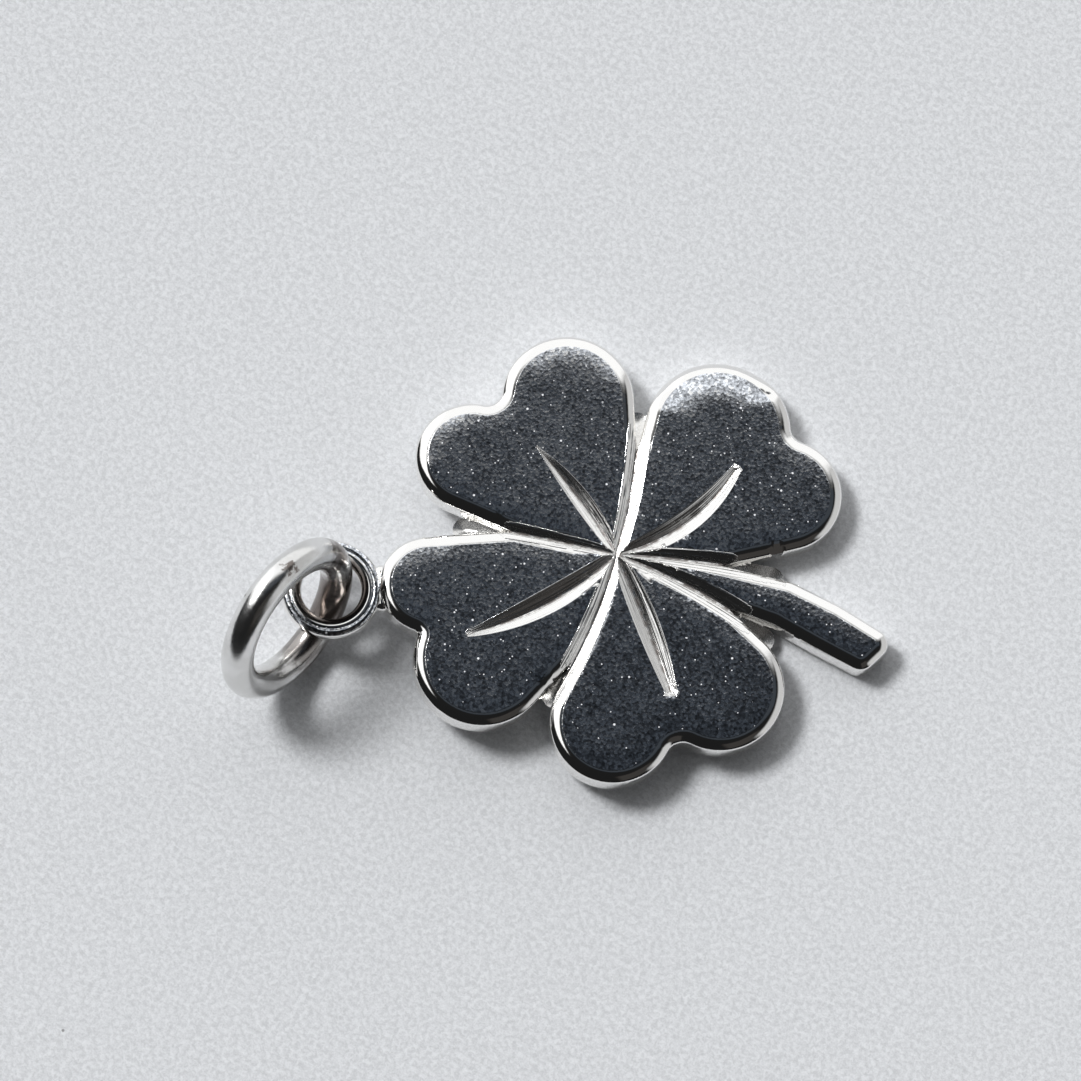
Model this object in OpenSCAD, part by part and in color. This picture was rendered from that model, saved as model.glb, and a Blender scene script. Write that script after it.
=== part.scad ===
// Four leaf clover pendant: a cast charm with a soldered wire eye, and the jump ring that hangs it.
// Millimetres, +Z up. The charm lies on a flat surface, with its eye propped up on the jump ring.
// The origin is on that surface, under the middle of the whole pendant.

/* [Plate] */
// Height of the cast plate, which is the same for the leaves and the stem
plate_h = 0.95; // [0.8:0.05:1.3]
// Radius of the polished round along the top edges
edge_r = 0.48; // [0.4:0.02:0.5]
// How far the round turns down, from the flat top to the upright wall, in degrees
edge_turn = 48; // [40:1:60]
// Bevel along the bottom edges
under_bevel = 0.08; // [0.02:0.02:0.2]
// Height of the low webs between the leaves
web_h = 0.5; // [0.3:0.05:0.55]
// Height of a web at its outer end
web_end_h = 0.2; // [0.1:0.02:0.3]
// Width of the webs
web_w = 0.7; // [0.5:0.05:0.9]

/* [Leaves] */
// Distance from the middle of the clover to the far side of a lobe
leaf_reach = 6.85; // [6:0.05:8]

/* [Stem] */
// Length of the stem, from the middle of the clover to its cut end
stem_l = 8; // [7:0.1:9.5]
// Width of the stem at its cut end
stem_w = 1.4; // [1.2:0.02:1.8]
// Radius of the two corners of the cut end
stem_corner_r = 0.45; // [0.45:0.01:0.6]

/* [Grooves] */
// Width of the veins, which the table of veins scales
vein_w = 0.74; // [0.4:0.02:0.8]
// Width of the channels between the leaves
channel_w = 0.64; // [0.5:0.02:0.78]
// Depth of a groove for each unit of its half width
groove_slope = 0.55; // [0.4:0.05:1.3]

/* [Eye] */
// Diameter of the eye's wire
eye_wire_d = 0.6; // [0.5:0.02:0.8]
// Inner diameter of the eye
eye_bore_d = 1.72; // [1.6:0.02:2.2]
// Depth to which the solder sinks the eye into the edge of the leaf
solder_seat = 0.07; // [0.05:0.01:0.2]
// Length of the bead of solder, along the edge of the leaf
solder_l = 1.4; // [0.8:0.1:1.6]
// Thickness of the bead of solder
solder_d = 0.5; // [0.4:0.02:0.6]

/* [Jump ring] */
// Diameter of the jump ring's wire
ring_wire_d = 0.94; // [0.7:0.02:1]
// Inner diameter of the jump ring
ring_bore_d = 3.35; // [3:0.05:4.5]
// Lean of the jump ring's flat side from the horizontal
ring_lean = 74.5; // [70:0.5:80]
// Clearance between the jump ring and the eye that rests on it
link_gap = 0.05; // [0.03:0.01:0.1]

/* [Hidden] */
pad_fn = 44;
pad_steps = 4;
cutter_fn = 16;
groove_steps = 6;
eye_fn = 48;
ring_fn = 96;
wire_fn = 24;
// Depth to which the parts of the plate reach under its back, before one cut makes the back flat
sink = 0.05;

// Paths from the middle of the clover: the angle turns evenly from the first to the last.
// columns: angle at the middle, angle at the end, reach as a share of leaf_reach,
// width at the middle, halfway and at the end as shares of the named width
channels = [
    [359, 353.5, 0.72, 0.5, 1, 1.15],
    [74, 81, 0.66, 0.75, 1, 1.1],
    [166, 169, 0.7, 0.45, 0.8, 0.95],
    [255.2, 246.5, 0.7, 0.74, 1, 1.15],
    [341, 331.5, 0.76, 0.5, 1.1, 1.2],
];
veins = [
    [15, 36.5, 0.63, 0.4, 0.95, 0.42],
    [119, 126, 0.567, 0.35, 0.75, 0.08],
    [222, 210, 0.7, 0.45, 1, 0.34],
    [295, 291, 0.63, 0.5, 0.95, 0.5],
];
// Length over which a web slopes down to its end
web_fall = 1.25;

// Leaves, counter-clockwise from the stem. The first lobe of a row faces the channel named there,
// and the second lobe faces the last one.
// columns: channel, lobe angle, reach, radius, second lobe's angle, reach, radius, channel,
// and radius of the hollow round in the cleft, with reaches and radii as shares of leaf_reach
leaf_table = [
    [0, 21.1, 1.01, 0.245, 51.6, 1.01, 0.31, 1, 0.066],
    [1, 106.6, 0.99, 0.28, 145.5, 0.98, 0.235, 2, 0.068],
    [2, 190, 1.012, 0.21, 219, 1.02, 0.29, 3, 0.022],
    [3, 268.5, 0.99, 0.263, 307.2, 0.99, 0.277, 4, 0.072],
];
function lobe_r(row, i) = row[3 + 3 * i] * leaf_reach;
function lobe_pos(row, i) = polar(row[2 + 3 * i] * leaf_reach - lobe_r(row, i), row[1 + 3 * i]);

// The hollow round in a cleft touches both lobes. Its centre is measured from the first lobe:
// along the line to the second lobe, and away from that line
function cleft_r(row) = row[8] * leaf_reach;
function lobe_span(row) = lobe_pos(row, 1) - lobe_pos(row, 0);
function cleft_along(row) =
    let (span = norm(lobe_span(row)))
    (pow(lobe_r(row, 0) + cleft_r(row), 2) - pow(lobe_r(row, 1) + cleft_r(row), 2) + span * span) / (2 * span);
function cleft_away(row) = sqrt(pow(lobe_r(row, 0) + cleft_r(row), 2) - pow(cleft_along(row), 2));
function cleft_pos(row) =
    let (way = lobe_span(row) / norm(lobe_span(row)))
    lobe_pos(row, 0) + cleft_along(row) * way + cleft_away(row) * [way[1], -way[0]];

// The sides of a leaf swell out to its channels: place along the channel, and radius of the swelling
belly_at = 0.6;
belly_r = 0.16 * leaf_reach;
point_at = 0.24;
edge_w = edge_r * sin(edge_turn);
wall_h = plate_h - edge_r * (1 - cos(edge_turn));
point_r = 1.05 * edge_w;
side_overlap = edge_w - channel_w / 2;
// Round plate under the leaves' points
hub_r = 0.155 * leaf_reach;

// Stem stations, from the middle to the cut end.
// columns: along and across as shares of stem_l, width as a share of stem_w
stem_stations = [
    [0.119, -0.034, 0.61],
    [0.312, -0.087, 0.78],
    [0.458, -0.13, 0.88],
    [0.604, -0.173, 0.99],
    [0.762, -0.257, 1.05],
];
// Middle of the stem's cut end, as shares of stem_l, and the direction of the cut
stem_end = [0.903, -0.339];
stem_cut = 44;

function polar(r, a) = r * [cos(a), sin(a)];
function between(a, b, t) = a + (b - a) * t;
function path_angle(path, t) = between(path[0], path[1], t);
function path_point(path, t) = polar(t * path[2] * leaf_reach, path_angle(path, t));
function path_width(path, t) =
    path[3] * (1 - t) * (1 - 2 * t) + path[4] * 4 * t * (1 - t) + path[5] * t * (2 * t - 1);
function stem_corner(side) = stem_l * stem_end + polar(side * (stem_w / 2 - stem_corner_r), stem_cut);

// Where the eye sits: on the rim of a lobe, in this direction from the middle of the lobe
eye_leaf = leaf_table[2];
eye_dir = 182.8;
eye_r = (eye_bore_d + eye_wire_d) / 2;
eye_seat = lobe_pos(eye_leaf, 0) + polar(lobe_r(eye_leaf, 0) - solder_seat, eye_dir);
eye_pos = eye_seat + polar(eye_r + eye_wire_d / 2, eye_dir);

// The jump ring stands on the surface, and the eye's wire lies across it this far round from its
// lowest point, in this direction from the middle of the eye
ring_r = (ring_bore_d + ring_wire_d) / 2;
ring_turn = -37.5;
cross_turn = 13.2;
cross_dir = 245.6;
cross_rise = (ring_wire_d / 2 + eye_wire_d / 2 + link_gap) / cos(cross_turn);
ring_rise = ring_r * sin(ring_lean);
ring_mid_z = ring_wire_d / 2 + ring_rise;
eye_z = ring_mid_z - ring_rise * cos(cross_turn) + cross_rise;

// The plate rests along the line that touches the stem's end and the lobe beside it
rest_leaf = leaf_table[0];
rest_a = stem_corner(1);
rest_ab = lobe_pos(rest_leaf, 0) - rest_a;
rest_taper = asin((stem_corner_r - lobe_r(rest_leaf, 0)) / norm(rest_ab));
rest_dir = atan2(rest_ab[1], rest_ab[0]) - 90 + rest_taper;
rest_out = polar(1, rest_dir);
rest_side = polar(1, rest_dir + 90);
rest_reach = rest_out * rest_a + stem_corner_r;
lie_angle = asin((eye_z - plate_h / 2) / (rest_reach - rest_out * eye_pos));

// Where a point of the flat plate is, once the plate lies
function laid(p, z) =
    let (
        over = rest_out * p - rest_reach,
        out = rest_reach + over * cos(lie_angle) + z * sin(lie_angle),
        flat = out * rest_out + (rest_side * p) * rest_side
    ) [flat[0], flat[1], z * cos(lie_angle) - over * sin(lie_angle)];

eye_mid = laid(eye_pos, plate_h / 2);
ring_down = [cos(ring_lean) * cos(ring_turn), cos(ring_lean) * sin(ring_turn)];
ring_along = polar(1, ring_turn + 90);
ring_arm = ring_r * (cos(cross_turn) * ring_down + sin(cross_turn) * ring_along);
ring_mid = [eye_mid[0], eye_mid[1]] + polar(eye_r, cross_dir) - ring_arm;
ring_axis = polar(sin(ring_lean), ring_turn);

// How far the pendant reaches in a direction of the plan, which gives the middle of the whole
rims = concat(
    [for (row = leaf_table) for (i = [0, 1]) [lobe_pos(row, i), lobe_r(row, i)]],
    [for (side = [-1, 1]) [stem_corner(side), stem_corner_r]]
);
function flat_share(dir, axis) = sqrt(1 - pow(dir * axis, 2));
function rim_reach(rim, dir, z) =
    let (mid = laid(rim[0], z))
    dir * [mid[0], mid[1]] + rim[1] * flat_share(dir, sin(lie_angle) * rest_out);
function ring_reach(dir) = dir * ring_mid + ring_wire_d / 2 + ring_r * flat_share(dir, ring_axis);
function reach(dir) = max(
    ring_reach(dir),
    max([for (rim = rims, z = [under_bevel, wall_h]) rim_reach(rim, dir, z)])
);
middle = [reach([1, 0]) - reach([-1, 0]), reach([0, 1]) - reach([0, -1])] / 2;

// Half section of an edge, from below the back to the flat top, whose wall is r from the axis on
// the inside of an outer edge (side 1) or of a hollow one (side -1)
function edge_pts(r, side) = concat(
    [[r - side * (under_bevel + sink), -sink], [r, under_bevel]],
    [
        for (i = [pad_steps:-1:0])
            let (a = edge_turn * i / pad_steps)
            [r - side * (edge_w - edge_r * sin(a)), plate_h - edge_r * (1 - cos(a))]
    ]
);

module pad(r) {
    rotate_extrude($fn = pad_fn) polygon(concat([[0, -sink]], edge_pts(r, 1), [[0, plate_h]]));
}

// What is cut away to leave the hollow round in a cleft
module hollow(r) {
    lift = 0.2;
    top = plate_h + lift;
    bottom = -2 * sink;
    rotate_extrude($fn = pad_fn) polygon(concat(
        [[0, bottom], [r + under_bevel + sink, bottom]],
        edge_pts(r, -1),
        [[r + edge_w, top], [0, top]]
    ));
}

// A pad that reaches just over the line of a channel, from the side given
module side_pad(channel, t, r, side) {
    path = channels[channel];
    translate(path_point(path, t) + polar(r - side_overlap, path_angle(path, t) + 90 * side)) pad(r);
}

module half_leaf(row, i) {
    channel = i == 0 ? row[0] : row[7];
    side = i == 0 ? 1 : -1;
    hull() {
        translate(lobe_pos(row, i)) pad(lobe_r(row, i));
        side_pad(channel, belly_at, belly_r, side);
        side_pad(channel, point_at, point_r, side);
    }
}

module leaf(row) {
    for (i = [0, 1]) half_leaf(row, i);
    hull() {
        for (i = [0, 1]) translate(lobe_pos(row, i)) pad(cleft_away(row) - cleft_r(row));
        pad(point_r);
    }
    difference() {
        intersection() {
            rotate_extrude($fn = pad_fn)
                polygon([[0, -sink], [leaf_reach, -sink], [leaf_reach, plate_h], [0, plate_h]]);
            translate([0, 0, -2 * sink]) linear_extrude(2 * plate_h)
                polygon([lobe_pos(row, 0), cleft_pos(row), lobe_pos(row, 1)]);
        }
        translate(cleft_pos(row)) hollow(cleft_r(row));
    }
}

module stem() {
    last = len(stem_stations) - 1;
    for (i = [0:last - 1])
        hull() for (s = [stem_stations[i], stem_stations[i + 1]])
            translate(stem_l * [s[0], s[1]]) pad(s[2] * stem_w / 2);
    hull() {
        s = stem_stations[last];
        translate(stem_l * [s[0], s[1]]) pad(s[2] * stem_w / 2);
        for (side = [-1, 1])
            translate(stem_corner(side)) pad(stem_corner_r);
    }
}

module web(path) {
    end = path_point(path, 1) - polar(web_w / 2, path[1]);
    knee = end - polar(web_fall, path[1]);
    // columns: place, height
    posts = [[[0, 0], web_h], [knee, web_h], [end, web_end_h]];
    for (i = [0, 1]) hull() for (post = [posts[i], posts[i + 1]])
        translate([post[0][0], post[0][1], -sink]) cylinder(d = web_w, h = post[1] + sink, $fn = cutter_fn);
}

// A V shaped cut along a path, with its edges on top of the plate
module groove(path, w) {
    lift = 0.2;
    for (i = [0:groove_steps - 1])
        hull() for (t = [i, i + 1] / groove_steps) {
            half = path_width(path, t) * w / 2;
            depth = half * groove_slope;
            translate(path_point(path, t)) translate([0, 0, plate_h - depth])
                cylinder(r1 = 0, r2 = half + lift / groove_slope, h = depth + lift, $fn = cutter_fn);
        }
}

module plate() {
    difference() {
        union() {
            for (row = leaf_table) leaf(row);
            for (path = channels) web(path);
            stem();
            pad(hub_r);
        }
        translate([0, 0, -2 * sink]) cylinder(r = 2 * leaf_reach, h = 2 * sink, $fn = cutter_fn);
        for (path = channels) groove(path, channel_w);
        for (path = veins) groove(path, vein_w);
    }
}

module eye() {
    translate([eye_pos[0], eye_pos[1], plate_h / 2])
        rotate_extrude($fn = eye_fn) translate([eye_r, 0]) circle(d = eye_wire_d, $fn = wire_fn);
}

module solder() {
    hull() for (side = [-1, 1])
        translate(eye_seat + polar(side * (solder_l - solder_d) / 2, eye_dir + 90))
            translate([0, 0, plate_h / 2]) sphere(d = solder_d, $fn = cutter_fn);
}

module as_it_lies() {
    foot = rest_reach * rest_out;
    translate(foot - middle) rotate(a = lie_angle, v = [rest_side[0], rest_side[1], 0])
        translate(-foot) children();
}

module clover() {
    color("silver") as_it_lies() {
        plate();
        eye();
        solder();
    }
}

module jump_ring() {
    color("gainsboro") translate([0, 0, ring_mid_z]) translate(ring_mid - middle)
        rotate([0, 0, ring_turn]) rotate([0, ring_lean, 0])
            rotate_extrude($fn = ring_fn) translate([ring_r, 0]) circle(d = ring_wire_d, $fn = wire_fn);
}

clover();
jump_ring();
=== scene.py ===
import math

import bpy
import bmesh
import numpy as np
from mathutils import Matrix, Vector
from mathutils.geometry import delaunay_2d_cdt


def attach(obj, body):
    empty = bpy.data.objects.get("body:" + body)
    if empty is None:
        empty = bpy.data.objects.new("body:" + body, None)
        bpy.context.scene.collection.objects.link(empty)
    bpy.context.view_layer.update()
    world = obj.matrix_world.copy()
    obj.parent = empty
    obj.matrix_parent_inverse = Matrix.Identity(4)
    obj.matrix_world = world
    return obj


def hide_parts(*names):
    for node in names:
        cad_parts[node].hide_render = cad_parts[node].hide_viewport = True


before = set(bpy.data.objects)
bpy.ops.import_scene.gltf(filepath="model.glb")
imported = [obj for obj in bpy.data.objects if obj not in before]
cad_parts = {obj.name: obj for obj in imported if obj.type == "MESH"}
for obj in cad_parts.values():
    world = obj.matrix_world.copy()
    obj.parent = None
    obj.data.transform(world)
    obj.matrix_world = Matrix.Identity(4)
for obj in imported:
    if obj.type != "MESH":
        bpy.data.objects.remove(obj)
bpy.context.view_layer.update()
mm = 0.001


def polar(r, degrees):
    a = math.radians(degrees)
    return np.array([r * math.cos(a), r * math.sin(a)])


def smoothStep(low, high, x):
    t = np.clip((x - low) / (high - low), 0, 1)
    return t * t * (3 - 2 * t)


class Wire:
    # a socket in a shader, world or Geometry Nodes tree, for writing node maths as Python
    def __init__(self, tree, socket):
        self.tree, self.socket = tree, socket

    def math(self, operation, *others):
        n = self.tree.nodes.new("ShaderNodeMath")
        n.operation = operation
        for slot, value in zip(n.inputs, (self,) + others):
            plug(self.tree, slot, value)
        return Wire(self.tree, n.outputs[0])

    def __add__(self, o): return self.math("ADD", o)
    def __radd__(self, o): return self.math("ADD", o)
    def __sub__(self, o): return self.math("SUBTRACT", o)
    def __mul__(self, o): return self.math("MULTIPLY", o)
    def __rmul__(self, o): return self.math("MULTIPLY", o)
    def __pow__(self, o): return self.math("POWER", o)

    def __rsub__(self, o):
        n = self.tree.nodes.new("ShaderNodeMath")
        n.operation = "SUBTRACT"
        n.inputs[0].default_value = o
        plug(self.tree, n.inputs[1], self)
        return Wire(self.tree, n.outputs[0])

    def ramp(self, low, high, outLow=0.0, outHigh=1.0):
        n = self.tree.nodes.new("ShaderNodeMapRange")
        n.interpolation_type = "SMOOTHSTEP"
        for slot, value in zip(n.inputs, (self, low, high, outLow, outHigh)):
            plug(self.tree, slot, value)
        return Wire(self.tree, n.outputs[0])


def plug(tree, slot, value):
    if isinstance(value, Wire):
        tree.links.new(value.socket, slot)
    else:
        slot.default_value = value


def addNode(tree, kind, settings=None, out=0, **values):
    # makes a node, sets its settings first, then fills its sockets by name, with _ for a space
    n = tree.nodes.new(kind)
    for key, value in (settings or {}).items():
        setattr(n, key, value)
    for key, value in values.items():
        plug(tree, n.inputs[key.replace("_", " ")], value)
    return Wire(tree, n.outputs[out])


def mixColour(tree, factor, a, b, blend="MIX"):
    n = tree.nodes.new("ShaderNodeMix")
    n.data_type, n.blend_type = "RGBA", blend
    plug(tree, n.inputs[0], factor)
    plug(tree, n.inputs[6], a)
    plug(tree, n.inputs[7], b)
    return Wire(tree, n.outputs[2])


def vectorMath(tree, operation, a, b, out=0):
    n = tree.nodes.new("ShaderNodeVectorMath")
    n.operation = operation
    plug(tree, n.inputs[0], a)
    plug(tree, n.inputs[1], b)
    return Wire(tree, n.outputs[out])


def newMaterial(name):
    material = bpy.data.materials.new(name)
    material.use_nodes = True
    tree = material.node_tree
    tree.nodes.clear()
    shader = tree.nodes.new("ShaderNodeBsdfPrincipled")
    output = tree.nodes.new("ShaderNodeOutputMaterial")
    tree.links.new(shader.outputs[0], output.inputs[0])
    return material, tree, shader


def addObject(name, mesh, material=None):
    obj = bpy.data.objects.new(name, mesh)
    bpy.context.scene.collection.objects.link(obj)
    if material:
        mesh.materials.clear()
        mesh.materials.append(material)
    return obj


def scaled(tree, vector, factor):
    n = tree.nodes.new("ShaderNodeVectorMath")
    n.operation = "SCALE"
    plug(tree, n.inputs[0], vector)
    plug(tree, n.inputs["Scale"], factor)
    return Wire(tree, n.outputs[0])


plate = {
    "height": 0.95,
    "edgeRadius": 0.48,
    "edgeTurn": 48,
    "corner": 0.035,
    "underBevel": 0.08,
    "webHeight": 0.5,
    "webEnd": 0.14,
    "webFall": 1.25,
    "webSpread": 0.35,
    "webWidth": 0.7,
    "webDip": 0.12,
    "cloverRadius": 6.85,
    "crown": 0.012,
    "crownWidth": 0.8,
    # where the dull face starts and is full, from the inner side of the polished edge
    "faceStart": (-0.06, 0.05),
    "sharpAngle": 26,
    # where the polish fell away wider: leaf, lobe, bearing, half angle, width and drop
    "domes": [(0, 1, 97, 66, 1.6, 0.235), (1, 0, 82, 66, 1.6, 0.05), (1, 1, 140, 60, 1.3, 0.055),
              (2, 0, 105, 55, 1.4, 0.035)],
    "domeFade": 30,
    "domeOver": 0.05,
    # x, y, radius and depth of dents in the leaves' tops
    "dents": [(4.24, 4.9, 0.15, 0.06), (4.47, 4.85, 0.1, 0.05), (3.97, 4.86, 0.09, 0.03)],
}
edgeWidth = plate["edgeRadius"] * math.sin(math.radians(plate["edgeTurn"]))
# how densely the plan of the plate is filled with points
plan = {
    "spacing": 0.055,
    "apart": 0.012,
    # distances inwards from an outline at which a ring of points lies
    "rings": (0.008, 0.02, 0.036, 0.07, 0.11, 0.155, 0.205, 0.26, 0.31),
    "webRings": (0.03, 0.09),
    "footRing": 0.018,
    "onLine": 0.004,
    "clearOf": 0.03,
    "gridStep": 0.13,
    "gridRow": 0.87,
    "gridX": (-7.5, 9),
    "gridY": (-7.5, 7.5),
    "jitter": 0.012,
    "seed": 4,
}
stem = {
    "length": 8,
    "width": 1.4,
    "cornerRadius": 0.45,
    # along and across as shares of the length, and width as a share of the width
    "stations": [(0.119, -0.034, 0.61), (0.312, -0.087, 0.78), (0.458, -0.13, 0.88),
                 (0.604, -0.173, 0.99), (0.762, -0.257, 1.05)],
    "end": (0.903, -0.339),
    "cut": 44,
}
grooves = {
    "slope": 0.55,
    "channelWidth": 0.64,
    "veinWidth": 0.74,
    "points": 44,
    "wander": 0.025,
    "waves": (9, 17, 31, 53),
    "channelSeed": 11,
    "veinSeed": 31,
    # angle at the middle and at the end, reach, width at the middle, halfway and at the end
    "channels": [(359, 353.5, 0.72, 0.5, 1, 1.15), (74, 81, 0.66, 0.75, 1, 1.1),
                 (166, 169, 0.7, 0.45, 0.8, 0.95), (255.2, 246.5, 0.7, 0.74, 1, 1.15),
                 (341, 331.5, 0.76, 0.5, 1.1, 1.2)],
    "veins": [(15, 36.5, 0.63, 0.4, 0.95, 0.42), (119, 126, 0.567, 0.35, 0.75, 0.08),
              (222, 210, 0.7, 0.45, 1, 0.34), (295, 291, 0.63, 0.5, 0.95, 0.5)],
    # the tool left a V with fine steps: share of the depth at each share of the half width
    "profile": [(-1, 0), (-0.58, 0.43), (-0.5, 0.47), (-0.1, 0.97), (0, 1), (0.1, 0.97), (0.44, 0.52),
                (0.52, 0.48), (1, 0)],
}
leaves = {
    # channel, lobe angle, reach, radius, second lobe's angle, reach, radius, channel, cleft's fillet
    "rows": [(0, 21.1, 1.01, 0.245, 51.6, 1.01, 0.31, 1, 0.066),
             (1, 106.6, 0.99, 0.28, 145.5, 0.98, 0.235, 2, 0.068),
             (2, 190, 1.012, 0.21, 219, 1.02, 0.29, 3, 0.022),
             (3, 268.5, 0.99, 0.263, 307.2, 0.99, 0.277, 4, 0.072)],
    "bellyAt": 0.6,
    "bellyRadius": 0.16,
    "pointAt": 0.24,
    "hubRadius": 0.155,
}
compass = np.radians(np.arange(0, 360, 0.75))
compassNormals = np.stack([np.cos(compass), np.sin(compass)], 1)
noGroove = 1e9


def thinned(line, normals, spacing):
    # a closed line of points evenly spaced, with the normals between those of its corners
    outPoints, outNormals = [], []
    for i in range(len(line)):
        a, b = line[i], line[(i + 1) % len(line)]
        na, nb = normals[i], normals[(i + 1) % len(line)]
        parts = max(1, int(np.linalg.norm(b - a) / spacing))
        for k in range(parts):
            p = a + (b - a) * k / parts
            if outPoints and np.linalg.norm(p - outPoints[-1]) < spacing * 0.8:
                continue
            n = na + (nb - na) * k / parts
            outPoints.append(p)
            outNormals.append(n / np.linalg.norm(n))
    return np.array(outPoints), np.array(outNormals)


class Hull:
    # a raised part of the plate, as the discs (x, y, radius) that its outline is stretched round
    closed = True

    def __init__(self, discs):
        self.discs = np.array(discs, float)
        self.support = (compassNormals @ self.discs[:, :2].T + self.discs[:, 2]).max(1)

    def outline(self):
        pick = (compassNormals @ self.discs[:, :2].T + self.discs[:, 2]).argmax(1)
        line = self.discs[pick, :2] + compassNormals * self.discs[pick, 2:]
        return thinned(line, compassNormals, plan["spacing"])

    def depth(self, points):
        # distance outwards from the outline: negative inside
        out = np.empty(len(points))
        for k in range(0, len(points), 4000):
            out[k:k + 4000] = (points[k:k + 4000] @ compassNormals.T - self.support).max(1)
        return out


class Fillet:
    # the hollow round in the cleft between two discs
    closed = False

    def __init__(self, one, two, radius):
        a, b = np.array(one[:2]), np.array(two[:2])
        span = np.linalg.norm(b - a)
        reachA, reachB = one[2] + radius, two[2] + radius
        along = (reachA ** 2 - reachB ** 2 + span ** 2) / (2 * span)
        away = math.sqrt(reachA ** 2 - along ** 2)
        self.low = away - radius
        way = (b - a) / span
        self.centre = a + way * along + np.array([way[1], -way[0]]) * away
        self.radius, self.a, self.b = radius, a, b

    def outline(self):
        first, last = (math.atan2(*(end - self.centre)[::-1]) for end in (self.b, self.a))
        turn = (last - first + math.pi) % (2 * math.pi) - math.pi
        steps = max(8, int(abs(turn) * self.radius / plan["spacing"]) + 1)
        angles = first + turn * np.arange(steps + 1) / steps
        normals = -np.stack([np.cos(angles), np.sin(angles)], 1)
        return self.centre - normals * self.radius, normals

    def depth(self, points):
        out = self.radius - np.linalg.norm(points - self.centre, axis=1)
        corners = (self.centre, self.b, self.a)
        for p, q in zip(corners, corners[1:] + corners[:1]):
            side = (q[0] - p[0]) * (points[:, 1] - p[1]) - (q[1] - p[1]) * (points[:, 0] - p[0])
            out[side < -1e-9] = 9
        return out


class Web:
    # the low web between two leaves, which slopes down at its end
    def __init__(self, path):
        self.a, self.b = np.zeros(2), pathPoint(path, 1) - polar(plate["webWidth"] / 2, path[1])
        self.radius = plate["webWidth"] / 2

    def inside(self, points):
        # distance inwards from the web's outline, and distance along it
        ab = self.b - self.a
        t = np.clip((points - self.a) @ ab / (ab @ ab), 0, 1)
        away = np.linalg.norm(points - self.a - t[:, None] * ab, axis=1)
        return self.radius - away, (points - self.a) @ ab / np.linalg.norm(ab)

    def heights(self, points):
        d, along = self.inside(points)
        end = np.linalg.norm(self.b - self.a) + self.radius
        fall = smoothStep(end - plate["webFall"], end + plate["webSpread"], along)
        z = plate["webHeight"] - (plate["webHeight"] - plate["webEnd"]) * fall
        z = z - plate["webDip"] * d.clip(0, self.radius) / self.radius
        return np.where(d > -plan["onLine"], z, -1)


class Cut:
    # a groove along a path, whose lines wander like a hand tool's
    def __init__(self, path, width, seed):
        t = np.linspace(0, 1, grooves["points"])
        self.centre = np.array([pathPoint(path, x) for x in t])
        way = np.gradient(self.centre, axis=0)
        way /= np.linalg.norm(way, axis=1)[:, None]
        self.left = np.stack([-way[:, 1], way[:, 0]], 1)
        shares = path[3] * (1 - t) * (1 - 2 * t) + path[4] * 4 * t * (1 - t) + path[5] * t * (2 * t - 1)
        self.half = shares * width / 2
        phases = np.random.default_rng(seed).uniform(0, 2 * math.pi, len(grooves["waves"]))
        pairs = zip(grooves["waves"], phases)
        waves = [np.sin(f * t + phase) / (k + 2) for k, (f, phase) in enumerate(pairs)]
        self.wander = grooves["wander"] * sum(waves)
        self.along = np.concatenate([[0], np.linalg.norm(np.diff(self.centre, axis=0), axis=1).cumsum()])

    def lines(self):
        # polylines along the groove, for the edges and kinks of its profile
        for u, _ in grooves["profile"]:
            shift = u + self.wander * (1 - abs(u))
            yield self.centre + self.left * (shift * self.half)[:, None]

    def heights(self, points):
        # height of the wall over each point, place across the groove from -1 to 1, and along it
        best, across = np.full(len(points), 1e9), np.full(len(points), 1e3)
        half, wander, along = np.ones(len(points)), np.zeros(len(points)), np.zeros(len(points))
        for i in range(len(self.centre) - 1):
            a, ab = self.centre[i], self.centre[i + 1] - self.centre[i]
            t = np.clip((points - a) @ ab / (ab @ ab), 0, 1)
            off = points - a - t[:, None] * ab
            d = np.linalg.norm(off, axis=1)
            closer = d < best
            best[closer] = d[closer]
            across[closer] = (d * np.sign(ab[0] * off[:, 1] - ab[1] * off[:, 0]))[closer]
            for values, known in ((half, self.half), (wander, self.wander), (along, self.along)):
                values[closer] = (known[i] + (known[i + 1] - known[i]) * t)[closer]
        u = across / half
        shares = np.interp(u - wander * (1 - np.abs(u).clip(0, 1)), *zip(*grooves["profile"]))
        z = plate["height"] - shares * half * grooves["slope"]
        z[np.abs(u) >= 1] = noGroove
        return z, u, along


def pathPoint(path, t):
    return polar(t * path[2] * plate["cloverRadius"], path[0] + (path[1] - path[0]) * t)


def lobeDisc(row, i):
    reach = plate["cloverRadius"]
    r = row[3 + 3 * i] * reach
    return (*polar(row[2 + 3 * i] * reach - r, row[1 + 3 * i]), r)


def sideDisc(channel, t, r, side):
    path = grooves["channels"][channel]
    over = edgeWidth - grooves["channelWidth"] / 2
    angle = path[0] + (path[1] - path[0]) * t
    return (*(pathPoint(path, t) + polar(r - over, angle + 90 * side)), r)


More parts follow.
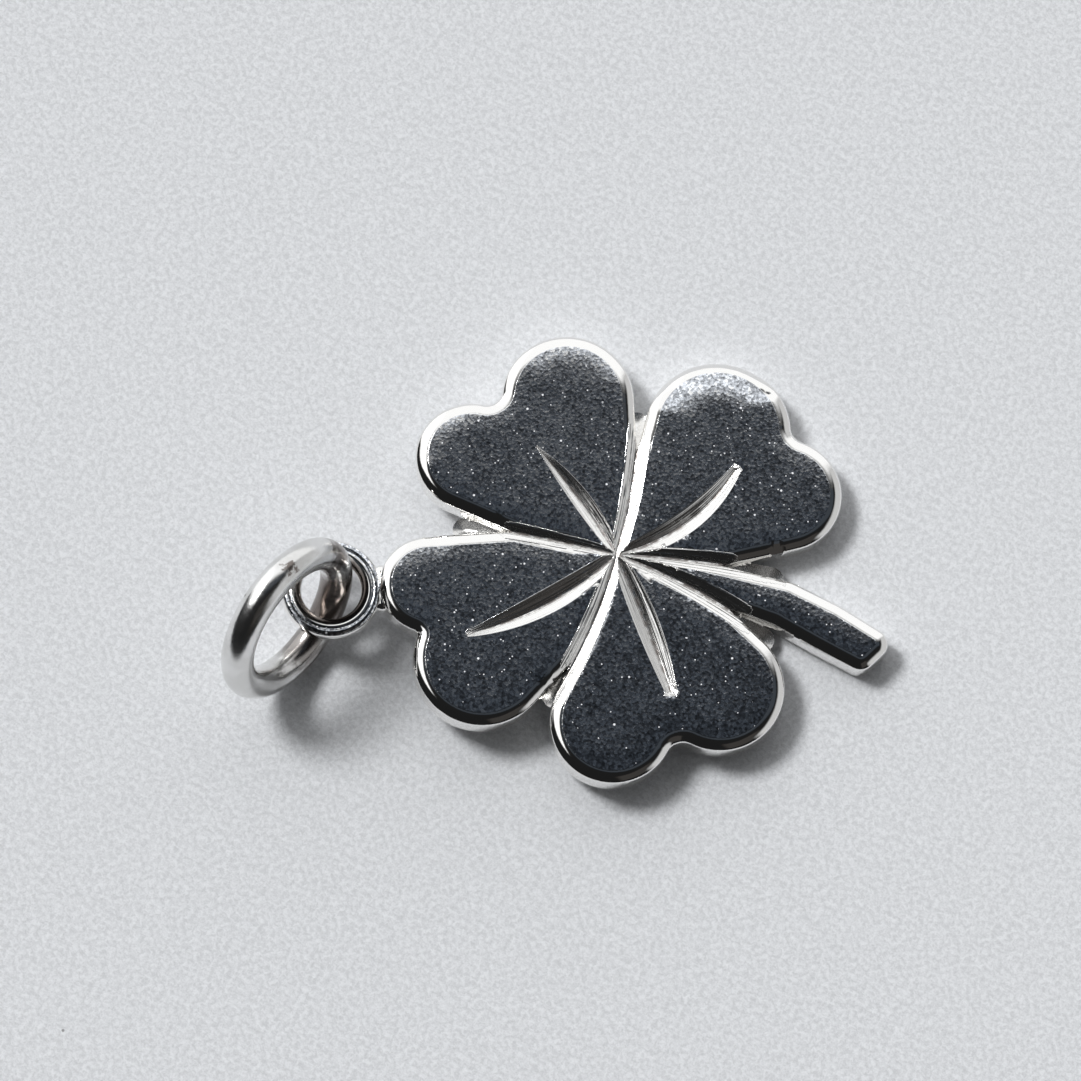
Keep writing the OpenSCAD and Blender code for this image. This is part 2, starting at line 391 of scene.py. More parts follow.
def plateShapes():
    reach = plate["cloverRadius"]
    pointRadius = 1.05 * edgeWidth
    shapes = []
    for row in leaves["rows"]:
        for i, side in ((0, 1), (1, -1)):
            channel = row[0] if i == 0 else row[7]
            shapes.append(Hull([lobeDisc(row, i),
                                sideDisc(channel, leaves["bellyAt"], leaves["bellyRadius"] * reach, side),
                                sideDisc(channel, leaves["pointAt"], pointRadius, side)]))
        cleft = Fillet(lobeDisc(row, 0), lobeDisc(row, 1), row[8] * reach)
        middle = [(*lobeDisc(row, i)[:2], cleft.low) for i in (0, 1)]
        shapes += [cleft, Hull(middle + [(0, 0, pointRadius)])]
    length, width, corner = stem["length"], stem["width"], stem["cornerRadius"]
    discs = [(length * x, length * y, w * width / 2) for x, y, w in stem["stations"]]
    shapes += [Hull(pair) for pair in zip(discs, discs[1:])]
    end = length * np.array(stem["end"])
    corners = [(*(end + polar(side * (width / 2 - corner), stem["cut"])), corner) for side in (-1, 1)]
    return shapes + [Hull([discs[-1]] + corners), Hull([(0, 0, leaves["hubRadius"] * reach)])]


def planPoints(shapes, webs, cuts):
    # the points of the plan, and the edges that its triangles must keep
    points, edges, loose = [], [], []

    def addLine(line, closed):
        start = len(points)
        points.extend(line.tolist())
        edges.extend((start + i, start + i + 1) for i in range(len(line) - 1))
        if closed:
            edges.append((start + len(line) - 1, start))

    for shape in shapes:
        others = [other for other in shapes if other is not shape]
        line, normals = shape.outline()
        addLine(line, shape.closed)
        for d in plan["rings"] + (edgeWidth,):
            ring = line - normals * d
            own = shape.depth(ring)
            rival = np.min([other.depth(ring) for other in others], axis=0)
            loose.append(ring[(own <= rival + plan["onLine"]) & (np.abs(own + d) < plan["onLine"])])
        outside = np.min([other.depth(line) for other in others], axis=0) > plan["clearOf"]
        inWeb = np.max([web.inside(line)[0] for web in webs], axis=0) > plan["clearOf"]
        loose.append((line + normals * plan["footRing"])[outside & inWeb])
    for web in webs:
        outline = Hull([(*web.a, web.radius), (*web.b, web.radius)]).outline()
        addLine(outline[0], True)
        loose += [outline[0] - outline[1] * d for d in plan["webRings"]]
    for cut in cuts:
        for line in cut.lines():
            addLine(line, False)

    step = plan["gridStep"]
    gx, gy = np.meshgrid(np.arange(*plan["gridX"], step), np.arange(*plan["gridY"], step * plan["gridRow"]))
    gx[::2] += step / 2
    grid = np.stack([gx.ravel(), gy.ravel()], 1)
    grid += np.random.default_rng(plan["seed"]).uniform(-plan["jitter"], plan["jitter"], grid.shape)
    deep = np.min([shape.depth(grid) for shape in shapes], axis=0)
    clear = np.min([cut.heights(grid)[0] for cut in cuts], axis=0) == noGroove
    loose.append(grid[(deep < -edgeWidth - 0.02) & clear])
    inWeb = np.max([web.inside(grid)[0] for web in webs], axis=0) > 0.1
    loose.append(grid[(deep > plan["clearOf"]) & inWeb])

    # a loose point is left out where its small square of the plan already holds one
    apart = plan["apart"]
    taken = {(round(x / apart), round(y / apart)) for x, y in points}
    for x, y in np.concatenate(loose):
        key = (round(x / apart), round(y / apart))
        if key not in taken:
            taken.add(key)
            points.append([x, y])
    return points, edges


def planTriangles(shapes, webs, cuts):
    points, edges = planPoints(shapes, webs, cuts)
    verts, _, faces, *_ = delaunay_2d_cdt([Vector(p) for p in points], edges, [], 0, 1e-4, False)
    xy = np.array([(v.x, v.y) for v in verts])
    triangles = np.array([f for f in faces if len(f) == 3])
    middle = xy[triangles].mean(1)
    outside = np.minimum(np.min([shape.depth(middle) for shape in shapes], axis=0),
                         -np.max([web.inside(middle)[0] for web in webs], axis=0))
    triangles = triangles[outside < 0]
    used = np.unique(triangles)
    renumber = np.full(len(xy), -1)
    renumber[used] = np.arange(len(used))
    return xy[used], renumber[triangles]


def edgeHeights(depth):
    # the polished arc down to the wall, and the small round at its foot
    r, c = plate["edgeRadius"], plate["corner"]
    s = (depth + edgeWidth).clip(0, edgeWidth)
    d = (-depth).clip(0, c)
    top = plate["height"] - (r - np.sqrt(r ** 2 - s ** 2)) - (c - np.sqrt(c ** 2 - (c - d) ** 2))
    return np.where(depth > plan["onLine"], -1, top)


def topHeights(xy, shapes, webs, cuts):
    depth = np.array([shape.depth(xy) for shape in shapes])
    top = edgeHeights(depth).max(0)
    rim = -depth.min(0)
    fall = plate["crown"] * (1 - smoothStep(edgeWidth * 0.5, plate["crownWidth"], rim))
    for leaf, lobe, bearing, half, width, drop in plate["domes"]:
        x, y, r = lobeDisc(leaves["rows"][leaf], lobe)
        turn = (np.degrees(np.arctan2(xy[:, 1] - y, xy[:, 0] - x)) - bearing + 180) % 360 - 180
        fade = 1 - smoothStep(half - plate["domeFade"], half, np.abs(turn))
        near = (np.hypot(xy[:, 0] - x, xy[:, 1] - y) < r + plate["domeOver"]) * fade
        fall += drop * (1 - rim / width).clip(0, 1) ** 3 * near
    for x, y, r, deep in plate["dents"]:
        fall += deep * np.exp(-((xy[:, 0] - x) ** 2 + (xy[:, 1] - y) ** 2) / r ** 2)
    top -= np.where(top > 0, fall, 0)
    # each point takes its marks from the groove that it lies in, or else from the nearest one
    cutTop, nearest = np.full(len(xy), noGroove), np.full(len(xy), noGroove)
    across, along = np.ones(len(xy)), np.zeros(len(xy))
    for cut in cuts:
        z, u, s = cut.heights(xy)
        rank = np.where(z < noGroove, z - 100, np.abs(u))
        across, along = np.where(rank < nearest, u, across), np.where(rank < nearest, s, along)
        nearest, cutTop = np.minimum(nearest, rank), np.minimum(cutTop, z)
    across = across.clip(-1, 1)
    web = np.max([web.heights(xy) for web in webs], axis=0)
    raised = np.minimum(top, cutTop)
    marks = {
        "face": smoothStep(*(edgeWidth + d for d in plate["faceStart"]), rim) * (raised > web),
        "cut": (1 - np.abs(across)) * (cutTop < top + 0.01) * (raised > web),
        "web": (web > raised).astype(float),
        "across": across,
        "along": along,
    }
    return np.maximum(raised, web), marks


def closeBelow(bm):
    # walls down from the rim of the top, and the flat back
    follow = {}
    for edge in bm.edges:
        if len(edge.link_faces) == 1:
            loop = next(l for l in edge.link_faces[0].loops if l.edge == edge)
            follow[loop.vert] = loop.link_loop_next.vert
    start = next(iter(follow))
    rim = [start]
    while follow[rim[-1]] != start:
        rim.append(follow[rim[-1]])
    print("rim: %d edges, %d in the loop" % (len(follow), len(rim)))
    line = np.array([v.co.xy for v in rim])
    way = np.roll(line, -1, 0) - np.roll(line, 1, 0)
    way /= np.linalg.norm(way, axis=1)[:, None] + 1e-12
    bevel = plate["underBevel"]
    low = [bm.verts.new((x, y, bevel)) for x, y in line]
    under = [bm.verts.new((x, y, 0)) for x, y in line + np.stack([-way[:, 1], way[:, 0]], 1) * bevel]
    for upper, lower in ((rim, low), (low, under)):
        for i, j in zip(range(len(rim)), list(range(1, len(rim))) + [0]):
            bm.faces.new((upper[j], upper[i], lower[i], lower[j]))
    back = [bm.edges.get((a, b)) for a, b in zip(under, under[1:] + under[:1])]
    bmesh.ops.triangle_fill(bm, edges=back, use_beauty=True)
    bmesh.ops.recalc_face_normals(bm, faces=bm.faces)


def buildPlate():
    shapes = plateShapes()
    cuts = []
    for kind in ("channel", "vein"):
        for k, path in enumerate(grooves[kind + "s"]):
            cuts.append(Cut(path, grooves[kind + "Width"], grooves[kind + "Seed"] + k))
    webs = [Web(path) for path in grooves["channels"]]
    xy, triangles = planTriangles(shapes, webs, cuts)
    heights, marks = topHeights(xy, shapes, webs, cuts)
    print("plate: %d points, %d faces on top" % (len(xy), len(triangles)))
    mesh = bpy.data.meshes.new("cloverPlate")
    bm = bmesh.new()
    layers = {name: bm.verts.layers.float.new(name) for name in marks}
    verts = [bm.verts.new((x, y, z)) for (x, y), z in zip(xy, heights)]
    for a, b, c in triangles:
        bm.faces.new((verts[a], verts[b], verts[c]))
    closeBelow(bm)
    for name, values in marks.items():
        for v, value in zip(verts, values):
            v[layers[name]] = value
    bm.to_mesh(mesh)
    bm.free()
    return mesh


lying = {"angle": 3.38171, "direction": 15.6477, "reach": 6.89479, "middle": (-1.67854, -0.0899708)}


def lyingTurn():
    a = math.radians(lying["direction"])
    return Matrix.Rotation(math.radians(lying["angle"]), 4, Vector((-math.sin(a), math.cos(a), 0)))


def layDown():
    # the matrix that takes the flat plate, in millimetres, to where it lies, in metres
    a = math.radians(lying["direction"])
    foot = Vector((math.cos(a), math.sin(a), 0)) * lying["reach"]
    middle = Vector((*lying["middle"], 0))
    return Matrix.Scale(mm, 4) @ Matrix.Translation(foot - middle) @ lyingTurn() @ Matrix.Translation(-foot)


def wireRingTree():
    # a ring of round wire: its upper outer quarter can be squarer and scored
    tree = bpy.data.node_groups.new("wireRing", "GeometryNodeTree")
    tree.interface.new_socket("Geometry", in_out="OUTPUT", socket_type="NodeSocketGeometry")
    for name, kind, value in (("Ring Radius", "Float", 1.0), ("Wire Radius", "Float", 0.1),
                              ("Ring Steps", "Int", 96), ("Wire Steps", "Int", 24),
                              ("Wobble", "Float", 0.0), ("Wobble Scale", "Float", 700.0),
                              ("Square", "Float", 0.0), ("Score Depth", "Float", 0.0),
                              ("Score Angle", "Float", 80.0), ("Score Width", "Float", 15.0),
                              ("Finish", "Material", None)):
        socket = tree.interface.new_socket(name, in_out="INPUT", socket_type="NodeSocket" + kind)
        if value is not None:
            socket.default_value = value
    inputs = tree.nodes.new("NodeGroupInput")

    def given(name):
        return Wire(tree, inputs.outputs[name])

    path = addNode(tree, "GeometryNodeCurvePrimitiveCircle", Resolution=given("Ring Steps"),
                   Radius=given("Ring Radius"))
    profile = addNode(tree, "GeometryNodeCurvePrimitiveCircle", Resolution=given("Wire Steps"),
                      Radius=given("Wire Radius"))
    tube = addNode(tree, "GeometryNodeCurveToMesh", Curve=path, Profile_Curve=profile)
    position = addNode(tree, "GeometryNodeInputPosition")
    flat = vectorMath(tree, "MULTIPLY", position, (1, 1, 0))
    spine = scaled(tree, vectorMath(tree, "NORMALIZE", flat, (0, 0, 0)), given("Ring Radius"))
    arm = vectorMath(tree, "SUBTRACT", position, spine)
    rise = addNode(tree, "ShaderNodeSeparateXYZ", out=2, Vector=arm)
    outwards = vectorMath(tree, "LENGTH", flat, (0, 0, 0), out=1) - given("Ring Radius")
    angle = rise.math("ARCTAN2", outwards) * (180 / math.pi)
    quarter = (angle - 45).math("ABSOLUTE").ramp(0, 45, 1, 0)
    score = (angle - given("Score Angle")).math("ABSOLUTE").ramp(0, given("Score Width"), 1, 0)
    score = score * given("Score Depth")
    noise = addNode(tree, "ShaderNodeTexNoise", Vector=position, Scale=given("Wobble Scale"), Detail=1.0)
    push = (noise - 0.5) * given("Wobble") + quarter * given("Square") - score
    offset = scaled(tree, vectorMath(tree, "NORMALIZE", arm, (0, 0, 0)), push)
    moved = addNode(tree, "GeometryNodeSetPosition", Geometry=tube, Offset=offset)
    smooth = addNode(tree, "GeometryNodeSetShadeSmooth", Geometry=moved)
    real = addNode(tree, "GeometryNodeRealizeInstances", Geometry=smooth)
    finished = addNode(tree, "GeometryNodeSetMaterial", Geometry=real, Material=given("Finish"))
    output = tree.nodes.new("NodeGroupOutput")
    plug(tree, output.inputs[0], finished)
    return tree


def makeWireRing(name, tree, values, place):
    holder = bpy.data.meshes.new(name + "Seed")
    obj = addObject(name + "Maker", holder)
    modifier = obj.modifiers.new("wireRing", "NODES")
    modifier.node_group = tree
    for item in tree.interface.items_tree:
        if item.in_out == "INPUT" and item.name in values:
            modifier[item.identifier] = values[item.name]
    mesh = bpy.data.meshes.new_from_object(obj.evaluated_get(bpy.context.evaluated_depsgraph_get()))
    mesh.name = name
    bpy.data.objects.remove(obj)
    bpy.data.meshes.remove(holder)
    mesh.transform(place)
    return mesh


silver = {
    "edgeColour": (0.93, 0.92, 0.9, 1),
    "faceColour": (0.72, 0.75, 0.8, 1),
    "wireColour": (0.86, 0.855, 0.845, 1),
    # dark brown for the jump ring's pits, and for painted shade in the grooves, on the webs and on the ring
    # near the eye
    "pitAndPaintedShadeBrown": (0.13, 0.1, 0.085, 1),
    "wornWire": (0.74, 0.735, 0.72, 1),
    "markColour": (0.95, 0.95, 0.97, 1),
    "faceRoughness": 0.12,
    "edgeRoughness": 0.06,
    "cellsPerMm": 12.0,
    # bright specks on the faces: cells per mm, share of the cells that hold one, and size
    "specks": [(3.2, 0.18, 0.13), (7.0, 0.24, 0.18)],
    # hairlines on the faces: direction, length, width, how rare they are, and a shift
    "hairlines": [(55, 0.8, 0.03, 0.89, 3.1), (-72, 0.6, 0.03, 0.9, 9.7)],
    # painted shade over the faces of the whole charm, lighter towards -x and +y: axis, where it is brightest
    # and darkest, and darkest share
    "paintedFaceShade": [(0, -5.0, 7.0, 0.86), (1, 1.0, -6.0, 0.76)],
    "brightest": 1.04,
    # heights of the grain in the finish, in millimetres
    "relief": {"face": 0.003, "groove": 0.018, "web": 0.003, "wear": 0.0015, "cells": 0.002},
    # painted shade and dark patches on the jump ring: painted shade where it runs inside the eye, a painted
    # dark reflection on its end above the eye, and darker patches near its top and low down; x, y, z, radii
    # where it is full and where it ends, and its share
    "ringPaintedShadeAndPatches": [(-6.5, -0.99, 1.37, 0.75, 1.35, 1), (-6.45, -0.3, 3.1, 0.35, 0.8, 1),
                  (-7.6, -1.18, 4.87, 0.12, 0.24, 1), (-7.35, -2.5, 0.8, 0.4, 1, 0.8)],
}

# the bead of solder between the eye and the leaf: leaf, lobe, bearing, seat, length and thickness
solder = {"leaf": 2, "lobe": 0, "bearing": 182.8, "seat": 0.07, "length": 1.4, "thick": 0.5}
# the eye's dull stretch, as degrees round its wire, starts, is full, fades and ends
eye = {"wire": 0.6, "bore": 1.72, "centre": (-6.50449, -0.987509, 1.36604), "square": 0.04,
       "score": 0.025, "scoreAt": 80.0, "steps": 144, "wireSteps": 96, "dull": (38, 56, 84, 96)}


def solderPlace():
    x, y, r = lobeDisc(leaves["rows"][solder["leaf"]], solder["lobe"])
    seat = polar(r - solder["seat"], solder["bearing"]) + (x, y)
    turn = Matrix.Rotation(math.radians(solder["bearing"]), 4, "Z") @ Matrix.Rotation(math.pi / 2, 4, "X")
    return layDown() @ Matrix.Translation((*seat, plate["height"] / 2)) @ turn


def makeSolder():
    bm = bmesh.new()
    bmesh.ops.create_uvsphere(bm, u_segments=40, v_segments=20, radius=solder["thick"] / 2)
    for v in bm.verts:
        v.co.z += math.copysign((solder["length"] - solder["thick"]) / 2, v.co.z + 1e-6)
    bm.transform(solderPlace())
    mesh = bpy.data.meshes.new("solderBead")
    bm.to_mesh(mesh)
    bm.free()
    return mesh


def eyePlace():
    return Matrix.Translation(Vector(eye["centre"]) * mm) @ lyingTurn()


def markSoldered(mesh):
    # the eye and the solder get marks of their own: the upper outer side of the eye is a face
    points = np.empty(len(mesh.vertices) * 3)
    mesh.vertices.foreach_get("co", points)
    points = points.reshape(-1, 3)
    toEye = np.array(eyePlace().inverted())
    local = (points @ toEye[:3, :3].T + toEye[:3, 3]) / mm
    out = np.hypot(local[:, 0], local[:, 1]) - (eye["bore"] + eye["wire"]) / 2
    angle = np.degrees(np.arctan2(local[:, 2], out))
    onEye = np.hypot(out, local[:, 2]) < eye["wire"] / 2 + eye["square"] + 0.02
    toSolder = np.array(solderPlace().inverted())
    local = points @ toSolder[:3, :3].T + toSolder[:3, 3]
    half = (solder["length"] - solder["thick"]) / 2
    local[:, 2] -= local[:, 2].clip(-half, half)
    onSolder = np.linalg.norm(local, axis=1) < solder["thick"] / 2 + 0.01
    soldered = onEye | onSolder
    start, full, fade, end = eye["dull"]
    dull = smoothStep(start, full, angle) * (1 - smoothStep(fade, end, angle))
    own = {"cut": 0, "web": 0, "across": 1, "along": 0, "face": np.where(onEye, dull, 0)}
    for name, value in own.items():
        values = np.empty(len(points))
        mesh.attributes[name].data.foreach_get("value", values)
        mesh.attributes[name].data.foreach_set("value", np.where(soldered, value, values))


def attribute(tree, name):
    return addNode(tree, "ShaderNodeAttribute", {"attribute_name": name}, out=2)


def millimetres(tree, **values):
    coords = addNode(tree, "ShaderNodeTexCoord", out=3)
    return addNode(tree, "ShaderNodeMapping", Vector=coords, Scale=(1000, 1000, 1000), **values)


def streaks(tree, place, angle, length, width, share, shift):
    # short hairlines in one direction
    turned = addNode(tree, "ShaderNodeMapping", {"vector_type": "TEXTURE"}, Vector=place,
                     Rotation=(0, 0, math.radians(angle)), Location=(shift, shift * 0.7, 0),
                     Scale=(length, width, 5.0))
    noise = addNode(tree, "ShaderNodeTexNoise", Vector=turned, Scale=1.0, Detail=0.0)
    return noise.ramp(share, share + 0.04)


def cellNoise(tree, place, perMm):
    # the distance to the middle of the nearest cell, and a random number for each cell
    cells = addNode(tree, "ShaderNodeTexVoronoi", {"feature": "F1"}, Vector=place, Scale=perMm)
    chance = addNode(tree, "ShaderNodeTexWhiteNoise", {"noise_dimensions": "3D"},
                     Vector=Wire(tree, cells.socket.node.outputs["Position"]))
    return cells, chance


def specks(tree, place, perMm, share, size):
    # small round spots in a share of the cells
    cells, chance = cellNoise(tree, place, perMm)
    return cells.ramp(size * 0.6, size, 1, 0) * chance.ramp(1 - share, 1.02 - share)


def addBump(tree, shader, height, strength=1.0):
    # a height in millimetres
    bump = addNode(tree, "ShaderNodeBump", Strength=strength, Distance=mm, Height=height)
    plug(tree, shader.inputs["Normal"], bump)


def cloverMaterial():
    material, tree, shader = newMaterial("cloverSilver")
    place = millimetres(tree)
    fine = addNode(tree, "ShaderNodeTexNoise", Vector=place, Scale=silver["cellsPerMm"], Detail=4.0,
                   Roughness=0.6)
    soft = addNode(tree, "ShaderNodeTexNoise", Vector=place, Scale=1.1, Detail=3.0)
    wear = addNode(tree, "ShaderNodeTexNoise", Vector=place, Scale=5.0, Detail=4.0)
    cells, tint = cellNoise(tree, place, silver["cellsPerMm"])
    cut, web = attribute(tree, "cut").ramp(0.0, 0.03), attribute(tree, "web")
    face = (attribute(tree, "face") + (fine - 0.5) * 0.4).ramp(0.35, 0.65) * (1 - cut)
    across, along = attribute(tree, "across"), attribute(tree, "along")

    coarse, small = (specks(tree, place, *row) for row in silver["specks"])
    rising, falling = (streaks(tree, place, *row) for row in silver["hairlines"])
    hair = rising.math("MAXIMUM", falling)
    marks = coarse.math("MAXIMUM", small).math("MAXIMUM", hair * 0.7) * face
    shade = (tint ** 2.0 * 1.1 + fine.ramp(0.32, 0.68) * 0.75 + 0.22) * soft.ramp(0.25, 0.75, 0.85, 1.15)
    # painted shade: the faces' colour darkens towards +x and -y
    for axis, bright, dark, share in silver["paintedFaceShade"]:
        reached = addNode(tree, "ShaderNodeSeparateXYZ", out=axis, Vector=place)
        shade = shade * reached.ramp(bright, dark, silver["brightest"], share)
    faceColour = scaled(tree, silver["faceColour"][:3], shade)
    colour = mixColour(tree, face, silver["edgeColour"], faceColour)

    # lines along the grooves, and painted shade in their bottoms and in patches on the webs
    wave = addNode(tree, "ShaderNodeTexNoise", {"noise_dimensions": "2D"}, Scale=1.0, Detail=1.5,
                   Vector=addNode(tree, "ShaderNodeCombineXYZ", X=across * 6.0, Y=along * 0.22))
    bottom = across.math("ABSOLUTE").ramp(0.0, 0.34, 1, 0) * wear.ramp(0.35, 0.6)
    # painted shade: dark brown in the groove bottoms and in patches on the webs, which are also made rougher
    paintedGrooveShade = (cut * bottom * 0.85).math("MAXIMUM", web * fine.ramp(0.5, 0.75) * 0.25)
    colour = mixColour(tree, paintedGrooveShade, colour, silver["pitAndPaintedShadeBrown"])
    colour = mixColour(tree, marks, colour, silver["markColour"])
    plug(tree, shader.inputs["Base Color"], colour)
    plug(tree, shader.inputs["Metallic"], 1 - marks * 0.75)
    rough = face * (silver["faceRoughness"] - silver["edgeRoughness"]) + silver["edgeRoughness"]
    rough = rough + cut * 0.08 + web * 0.2 + paintedGrooveShade * 0.2 + marks * 0.4 + (wear - 0.5) * 0.08
    plug(tree, shader.inputs["Roughness"], rough)
    relief = silver["relief"]
    height = face * fine * relief["face"] + cut * wave * relief["groove"] + web * fine * relief["web"]
    addBump(tree, shader, height + wear * relief["wear"] + cells * face * relief["cells"])
    return material


def wireMaterial():
    material, tree, shader = newMaterial("ringSilver")
    place = millimetres(tree)
    soft = addNode(tree, "ShaderNodeTexNoise", Vector=place, Scale=1.3, Detail=3.0)
    wear = addNode(tree, "ShaderNodeTexNoise", Vector=place, Scale=7.0, Detail=4.0)
    fine = addNode(tree, "ShaderNodeTexNoise", Vector=place, Scale=28.0, Detail=2.0)
    pitsAndPaintedShade = specks(tree, place, 2.4, 0.12, 0.2)
    # painted shade and a painted dark reflection near the eye are added to the real pits
    for x, y, z, full, none, share in silver["ringPaintedShadeAndPatches"]:
        away = vectorMath(tree, "DISTANCE", place, (x, y, z), out=1) + (wear - 0.5) * 0.6
        pitsAndPaintedShade = pitsAndPaintedShade.math("MAXIMUM", away.ramp(full, none, share, 0))
    colour = mixColour(tree, soft.ramp(0.35, 0.65), silver["wireColour"], silver["wornWire"])
    plug(tree, shader.inputs["Base Color"], mixColour(tree, pitsAndPaintedShade * 0.85, colour, silver["pitAndPaintedShadeBrown"]))
    plug(tree, shader.inputs["Roughness"], (wear - 0.5) * 0.12 + 0.19)
    shader.inputs["Metallic"].default_value = 1.0
    addBump(tree, shader, wear * 0.003 + fine * 0.0012)
    return material


cloverSilver = cloverMaterial()
ringSilver = wireMaterial()
plateMesh = buildPlate()
plateMesh.transform(layDown())
clover = addObject("cloverCharm", plateMesh, cloverSilver)

ringTree = wireRingTree()
eyeMesh = makeWireRing("eyeWire", ringTree, {
    "Ring Radius": (eye["bore"] + eye["wire"]) / 2 * mm, "Wire Radius": eye["wire"] / 2 * mm,
    "Ring Steps": eye["steps"], "Wire Steps": eye["wireSteps"], "Square": eye["square"] * mm,
    "Score Depth": eye["score"] * mm, "Score Angle": eye["scoreAt"], "Finish": cloverSilver,
}, eyePlace())
print("eye: %d faces" % len(eyeMesh.polygons))
soldered = [addObject("solderPart", makeSolder(), cloverSilver), addObject("eyePart", eyeMesh)]
for part in soldered:
    union = clover.modifiers.new(part.name, "BOOLEAN")
    union.operation, union.solver, union.object = "UNION", "EXACT", part
joined = bpy.data.meshes.new_from_object(clover.evaluated_get(bpy.context.evaluated_depsgraph_get()))
clover.modifiers.clear()
clover.data = joined
for part in soldered:
    bpy.data.objects.remove(part)
markSoldered(joined)
joined.materials.clear()
joined.materials.append(cloverSilver)
joined.polygons.foreach_set("use_smooth", [True] * len(joined.polygons))
joined.set_sharp_from_angle(angle=math.radians(plate["sharpAngle"]))
print("clover: %d faces" % len(joined.polygons))

jumpRing = {"wire": 0.94, "bore": 3.35, "centre": (-7.72462, -2.092759, 2.53699), "lean": 74.5,
            "turn": -37.5, "steps": 192, "wireSteps": 64, "wobble": 0.008}
ringMesh = makeWireRing("jumpRingWire", ringTree, {
    "Ring Radius": (jumpRing["bore"] + jumpRing["wire"]) / 2 * mm, "Wire Radius": jumpRing["wire"] / 2 * mm,
    "Ring Steps": jumpRing["steps"], "Wire Steps": jumpRing["wireSteps"], "Wobble": jumpRing["wobble"] * mm,
    "Finish": ringSilver,
}, Matrix.Translation(Vector(jumpRing["centre"]) * mm)
    @ Matrix.Rotation(math.radians(jumpRing["turn"]), 4, "Z")
    @ Matrix.Rotation(math.radians(jumpRing["lean"]), 4, "Y"))
ring = addObject("jumpRing", ringMesh)
print("jump ring: %d faces" % len(ringMesh.polygons))

for piece, node in ((clover, "clover"), (ring, "jump_ring")):
    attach(piece, "root")
    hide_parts(node)

paper = {"dark": (0.51, 0.517, 0.53, 1), "light": (0.86, 0.872, 0.893, 1), "dust": (0.2, 0.2, 0.2, 1),
         "turn": 0.5, "size": 0.8}


def makeFloor():
    material, tree, shader = newMaterial("paper")
    place = millimetres(tree, Rotation=(0, 0, paper["turn"]))
    fibres = addNode(tree, "ShaderNodeTexNoise", Vector=place, Scale=7.0, Detail=4.0, Roughness=0.65,
                     Distortion=0.4)
    grain = addNode(tree, "ShaderNodeTexNoise", Vector=place, Scale=20.0, Detail=2.0)
    dust = specks(tree, place, 0.35, 0.3, 0.02)
    tone = fibres.ramp(0.3, 0.7) * 0.5 + grain * 0.5
    colour = mixColour(tree, tone, paper["dark"], paper["light"])
    plug(tree, shader.inputs["Base Color"], mixColour(tree, dust * 0.8, colour, paper["dust"]))
    shader.inputs["Roughness"].default_value = 0.8
    addBump(tree, shader, tone * 0.012, strength=0.5)
    half = paper["size"] / 2
    mesh = bpy.data.meshes.new("floor")
    corners = [(-half, -half, 0), (half, -half, 0), (half, half, 0), (-half, half, 0)]
    mesh.from_pydata(corners, [], [(0, 1, 2, 3)])
    return addObject("floor", mesh, material)


makeFloor()

# panels of light round the pendant. Their corners are bearings, counter-clockwise from +X, and
# elevations; each panel softens by the sine given at its edges
studio = {
    "between": (0.012, 0.0122, 0.0125),
    "panels": [
        {"corners": [(150, -12), (174, 47), (212, 62), (165, 71), (112, 62), (106, -12)], "soft": 0.06,
         "light": (1.2, 1.21, 1.22)},
        {"corners": [(135, -12), (135, 57), (40, 54), (40, -12)], "soft": 0.15, "light": (1.05, 1.06, 1.07)},
        {"corners": [(45, -12), (45, 34), (-38, 34), (-38, -12)], "soft": 0.12, "light": (0.58, 0.585, 0.59)},
        {"corners": [(120, 56), (150, 82), (330, 82), (5, 52), (62, 44)], "soft": 0.09,
         "light": (0.044, 0.0515, 0.062)},
        {"corners": [(-25, 22), (-25, 58), (-75, 58), (-75, 22)], "soft": 0.08,
         "light": (0.045, 0.042, 0.04)},
    ],
    # the lamp that throws the shadows: bearing, elevation, and the angles at which it fades
    "lamp": {"at": (146, 50), "full": 6, "none": 10, "light": (38, 38.3, 38.6)},
}


def pointing(bearing, elevation):
    a, e = math.radians(bearing), math.radians(elevation)
    return Vector((math.cos(e) * math.cos(a), math.cos(e) * math.sin(a), math.sin(e)))


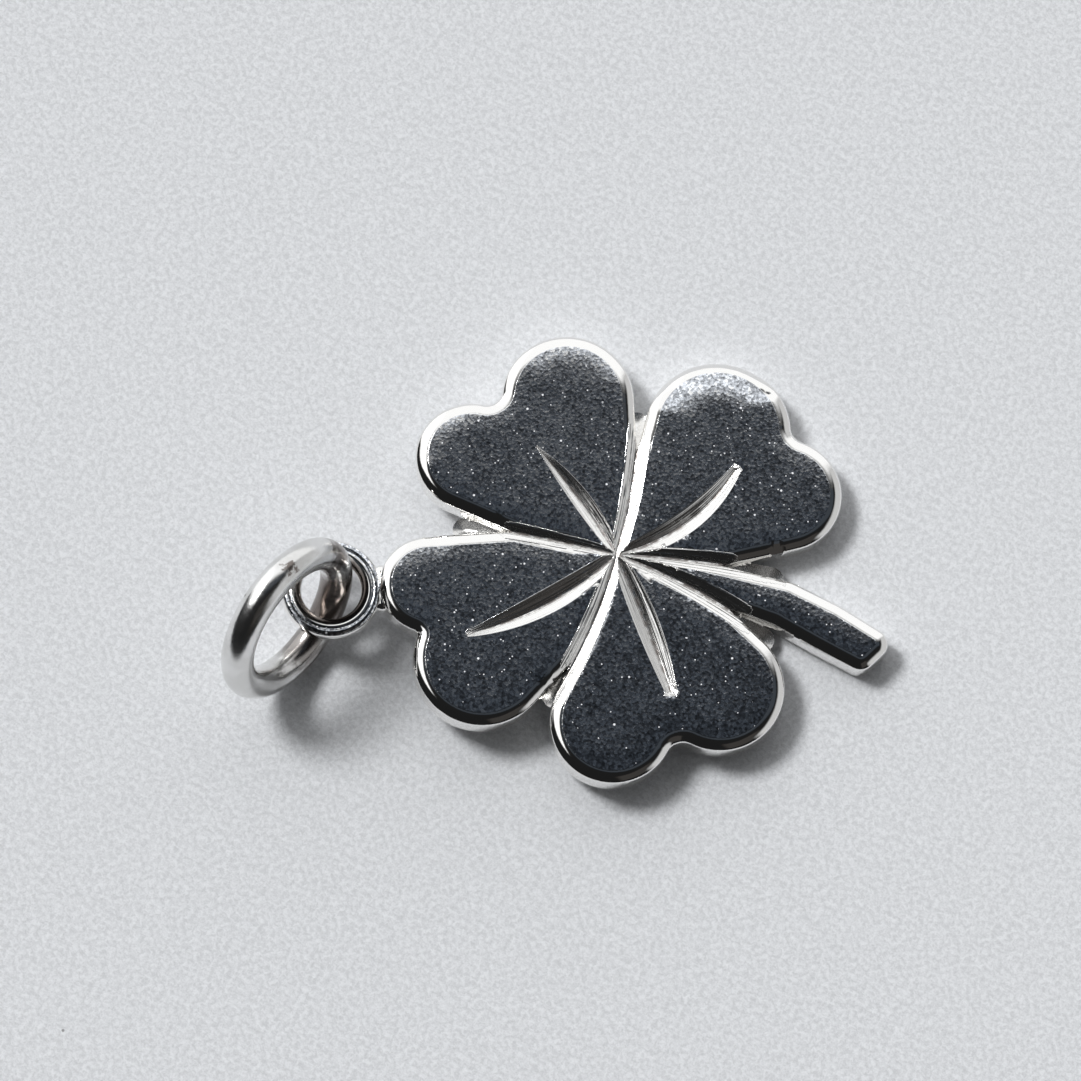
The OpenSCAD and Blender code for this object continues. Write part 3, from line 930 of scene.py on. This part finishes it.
def makeSky():
    world = bpy.data.worlds.new("studio")
    bpy.context.scene.world = world
    world.use_nodes = True
    sky = world.node_tree
    sky.nodes.clear()
    direction = addNode(sky, "ShaderNodeTexCoord", out=0)
    total = vectorMath(sky, "ADD", (0, 0, 0), studio["between"])
    for panel in studio["panels"]:
        corners = [pointing(*corner) for corner in panel["corners"]]
        shown = None
        for a, b in zip(corners, corners[1:] + corners[:1]):
            inside = vectorMath(sky, "DOT_PRODUCT", direction, a.cross(b).normalized(), out=1)
            step = inside.ramp(-panel["soft"], panel["soft"])
            shown = step if shown is None else shown * step
        total = vectorMath(sky, "MAXIMUM", total, scaled(sky, panel["light"], shown))
    lamp = studio["lamp"]
    facing = vectorMath(sky, "DOT_PRODUCT", direction, pointing(*lamp["at"]), out=1)
    shown = facing.ramp(math.cos(math.radians(lamp["none"])), math.cos(math.radians(lamp["full"])))
    total = vectorMath(sky, "MAXIMUM", total, scaled(sky, lamp["light"], shown))
    background = addNode(sky, "ShaderNodeBackground", Color=total, Strength=1.0)
    output = sky.nodes.new("ShaderNodeOutputWorld")
    plug(sky, output.inputs[0], background)


makeSky()

photo = {"elevation": 76, "distance": 0.22, "frame": 0.031424, "sensor": 36,
         "star": (1.67854, 0.0899708, 0), "shift": (-2.137, 0.727)}
cameraData = bpy.data.cameras.new("camera")
cameraData.sensor_width = photo["sensor"]
cameraData.lens = photo["sensor"] * photo["distance"] / photo["frame"]
cameraData.clip_start, cameraData.clip_end = 0.01, 10
camera = bpy.data.objects.new("camera", cameraData)
bpy.context.scene.collection.objects.link(camera)
e = math.radians(photo["elevation"])
back = Vector((0, -math.cos(e), math.sin(e)))
upward = Vector((0, math.sin(e), math.cos(e)))
target = (Vector(photo["star"]) + Vector((photo["shift"][0], 0, 0)) + upward * photo["shift"][1]) * mm
camera.location = target + back * photo["distance"]
camera.rotation_euler = (math.pi / 2 - e, 0, 0)
bpy.context.scene.camera = camera
bpy.context.scene.view_settings.view_transform = "Standard"
